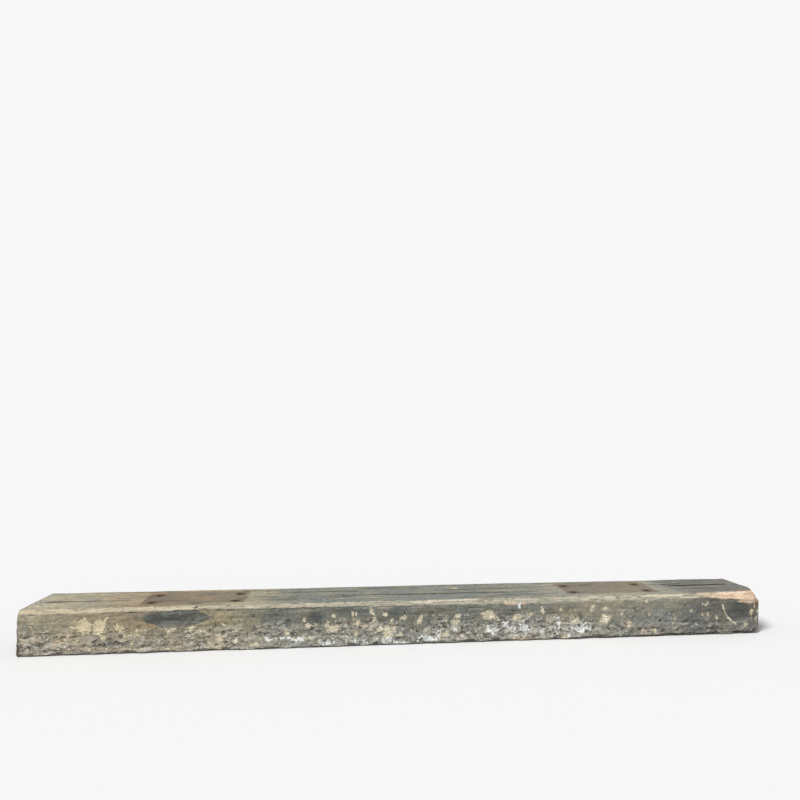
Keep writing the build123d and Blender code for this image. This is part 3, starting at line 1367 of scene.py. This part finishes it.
# %% Wane
strip_stops = (
    (0.0, tint(206, 190, 158)),
    (0.4, tint(184, 177, 156)),
    (1.0, tint(184, 177, 156)),
)
strip_level = 1.8 * streaks + 1.0 * fibres + 0.6 * mottle + 0.5 * crumbs
strip = aged.shade(aged.tones(share, strip_stops), strip_level - 1.0)
strip = aged.blend(0.9 * aged.line(streaks, 0.56, 0.020), strip, tint(104, 96, 82))
strip = aged.blend(0.7 * aged.line(slivers, 0.42, 0.016), strip, tint(92, 85, 74))
strip = aged.blend(aged.ramp(crumbs, 0.58, 0.64, 0.8), strip, tint(84, 76, 64))
wane_edge = aged.mark("wane") + 1.0 * mottle_swing + 0.5 * fibre_swing + 0.4 * (specks - 0.5)
# A thin line of painted shade under the lower edge of the wane.
wood = aged.blend(0.25 * aged.line(wane_edge, 0.40, 0.10), wood, tint(62, 58, 52))
wood = aged.blend(0.97 * aged.ramp(wane_edge, 0.47, 0.52), wood, strip)
aged.report("wane")

# %% [markdown]
# ## Splits and cracks
#
# Freshly split wood is the one bright colour on the timber: orange brown with darker fibres. The
# cracks are the darkest, because no light reaches their bottom. The wide ones are cut into the
# mesh, and hairlines beside them are drawn along the grain, mostly on the top.

# %% Split wood
raw_tone = aged.blend(aged.ramp(streaks, 0.40, 0.60), tint(234, 216, 190), tint(208, 170, 136))
raw_tone = aged.blend(aged.ramp(along, 1.16, 1.08, 0.8), raw_tone, tint(200, 188, 164))
raw_tone = aged.blend(aged.line(fibres, 0.5, 0.03), raw_tone, tint(158, 118, 88))
raw_tone = aged.shade(raw_tone, 0.3 + 0.7 * fibres + 0.7 * mottle)
split_edge = aged.mark("split") + 0.5 * mottle_swing + 0.3 * fibre_swing
wood = aged.blend(0.95 * aged.ramp(split_edge, 0.48, 0.55), wood, raw_tone)
aged.report("split wood")

# %% Dark cracks
crack_edge = aged.mark("crack") + 0.5 * fibre_swing + 0.3 * mottle_swing
cracked = aged.ramp(crack_edge, 0.5, 0.7)
hairline = aged.noise(aged.stretch(grain, 1.3, 30, 30), 1.0, 3, 0.5)
hairlines = aged.line(hairline, 0.52, 0.010) * aged.ramp(clouds, 0.50, 0.55)
hairlines = hairlines * (1 - chewed_share) * (0.3 + aged.ramp(height_up, 0.138, 0.146, 0.7))
crack_share = aged.add("ShaderNodeMath", {"operation": "MAXIMUM"}, {0: cracked, 1: hairlines})
wood = aged.blend(0.85 * crack_share, wood, tint(40, 37, 33))
aged.report("cracks")

# %% [markdown]
# ## Seats and screw holes
#
# Under each base plate the wood stayed dry but took rust, and round each coach screw rust ran into
# the grain. The holes themselves are nearly black inside.

# %% Seats and screw holes
seat_edge = aged.mark("seat") + 0.5 * (clouds - 0.5) + 0.5 * mottle_swing
seat_share = aged.ramp(seat_edge, 0.35, 0.65)
rust_level = aged.ramp(clouds + 0.5 * (streaks - 0.5), 0.42, 0.60)
rust = aged.blend(rust_level, tint(112, 95, 78), tint(86, 80, 72))
rust = aged.shade(rust, 0.1 + 0.8 * mottle + 0.6 * crumbs + 0.4 * streaks)
wood = aged.blend(0.6 * seat_share, wood, rust)
ring_share = aged.ramp(aged.mark("rusty") + 0.5 * mottle_swing, 0.25, 0.75, 0.8)
wood = aged.blend(ring_share, wood, aged.shade(tint(96, 62, 42), 0.4 + 1.2 * crumbs))
wood = aged.blend(0.85 * aged.mark("bore"), wood, tint(58, 46, 38))
aged.report("seats and screw holes")

# %% [markdown]
# ## Sawn ends
#
# An end shows the rings round the heart and the rays across them. A Wave texture in rings gives the
# first. For the rays, noise is read by direction from the heart alone, so a line in it runs straight
# outwards.

# %% Sawn ends
heart_y = -2 * MM
heart_z = 60 * MM
heart = aged.vector("SUBTRACT", place, (0.0, heart_y, heart_z))
ring_settings = {"wave_type": "RINGS", "rings_direction": "X", "wave_profile": "SAW"}
ring_inputs = {"Vector": heart, "Scale": 70.0, "Distortion": 1.6, "Detail": 3.0}
rings = aged.add("ShaderNodeTexWave", ring_settings, ring_inputs, "Fac")
outwards = {0: aged.stretch(heart, 0, 1, 1)}
ray = aged.add("ShaderNodeVectorMath", {"operation": "NORMALIZE"}, outwards)
shakes = aged.line(aged.noise(ray, 3.0, 2, 0.5), 0.5, 0.010)
shakes = shakes * aged.ramp(clouds + 0.5 * mottle, 0.66, 0.80)
end_wood = aged.blend(aged.ramp(rings, 0.2, 0.9, 0.75), tint(142, 131, 111), tint(88, 81, 70))
end_wood = aged.shade(end_wood, 0.3 + 0.6 * mottle + 0.8 * crumbs)
end_wood = aged.blend(0.9 * shakes, end_wood, tint(34, 31, 28))
end_share = aged.ramp(aged.mark("sawn_end"), 0.4, 0.6)
wood = aged.blend(end_share, wood, end_wood)
aged.report("sawn ends")

# %% [markdown]
# ## Relief and sheen
#
# The mesh holds every dent down to about a centimetre. A finer mesh could hold more, but would be
# millions of faces. So what is finer comes from a Bump node, fed with heights in metres from the
# same noises as the colours, so that each crevice has painted shade and is also deep. Old timber has
# almost no sheen, apart from the tar.

# %% Relief and sheen
height = 0.004 * mottle + 0.0025 * crumbs + 0.0016 * streaks + 0.0012 * fibres
height = height + chewed_share * 0.003 * aged.ramp(folds, 0.47, 0.58)
height = height - 0.002 * shaded_crevice - 0.0012 * pits + 0.0006 * small_chips_and_glints - 0.003 * crack_share
height = height + 0.0008 * lime_share + end_share * (0.0006 * rings - 0.004 * shakes)
bump = aged.add("ShaderNodeBump", {}, {"Strength": 1.0, "Distance": 1.0, "Height": height})
aged.feed("Base Color", aged.vector("MULTIPLY", wood, (0.98, 1.0, 1.035)))
aged.feed("Roughness", 0.9 - 0.25 * tar_share)
aged.feed("Normal", bump)
aged.surface.inputs["Specular IOR Level"].default_value = 0.3
timber.data.materials.clear()
timber.data.materials.append(aged.material)
aged.report("whole finish")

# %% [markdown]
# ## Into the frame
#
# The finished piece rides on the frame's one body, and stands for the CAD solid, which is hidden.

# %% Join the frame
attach(timber, "root")
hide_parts("sleeper")
print(timber.name, "replaces the solid")

# %% [markdown]
# ## Floor and light
#
# A plain pale floor and two large soft lamps are enough. More light would make the floor white, but
# would wash out the timber too. So the floor and the world are pale where the eye sees them, and
# darker where they only send light, and the dents keep their shade.

# %% Floor
floor_reach = 40.0
floor_mesh = bpy.data.meshes.new("floor")
floor_form = bmesh.new()
bmesh.ops.create_grid(floor_form, x_segments=1, y_segments=1, size=floor_reach)
floor_form.to_mesh(floor_mesh)
floor_form.free()
floor = bpy.data.objects.new("floor", floor_mesh)
bpy.context.scene.collection.objects.link(floor)
print("floor", [round(side, 1) for side in floor.dimensions])

# %% Its finish
floor_finish = Finish("pale floor")
floor_tone = floor_finish.blend(floor_finish.seen(), tint(128, 126, 122), tint(226, 226, 226))
floor_finish.feed("Base Color", floor_tone)
floor_finish.surface.inputs["Roughness"].default_value = 1.0
floor_finish.surface.inputs["Specular IOR Level"].default_value = 0.0
floor.data.materials.append(floor_finish.material)
floor_finish.report("floor")

# %% Lamps


def soft_sun(name, place, power, spread):
    """A sun that shines from the direction of place. The wider its spread, the softer it is."""
    data = bpy.data.lights.new(name, "SUN")
    data.energy = power
    data.angle = math.radians(spread)
    lamp = bpy.data.objects.new(name, data)
    lamp.location = place
    lamp.rotation_euler = Vector(place).to_track_quat("Z", "Y").to_euler()
    bpy.context.scene.collection.objects.link(lamp)
    print(name, "of power", power)


soft_sun("key", (-2.4, -1.9, 3.3), 3.0, 20)
soft_sun("front fill", (1.2, -3.0, 1.4), 0.6, 50)

# %% World
even_light = 0.45
backdrop_level = 0.94
world = bpy.data.worlds.new("studio")
bpy.context.scene.world = world
world.use_nodes = True
studio = Network(world.node_tree)
background = world.node_tree.nodes["Background"]
strength = even_light + studio.ramp(studio.seen(), 0.0, 1.0, backdrop_level - even_light)
world.node_tree.links.new(strength.socket, background.inputs["Strength"])
background.inputs["Color"].default_value = (1.0, 1.0, 1.0, 1.0)
bpy.context.scene.view_settings.view_transform = "Standard"
studio.report("world")

# %% [markdown]
# ## The end
#
# The dressed timber must not be larger than the solid. Last, the view layer is brought up to date.

# %% Bring the view layer up to date
bpy.context.view_layer.update()
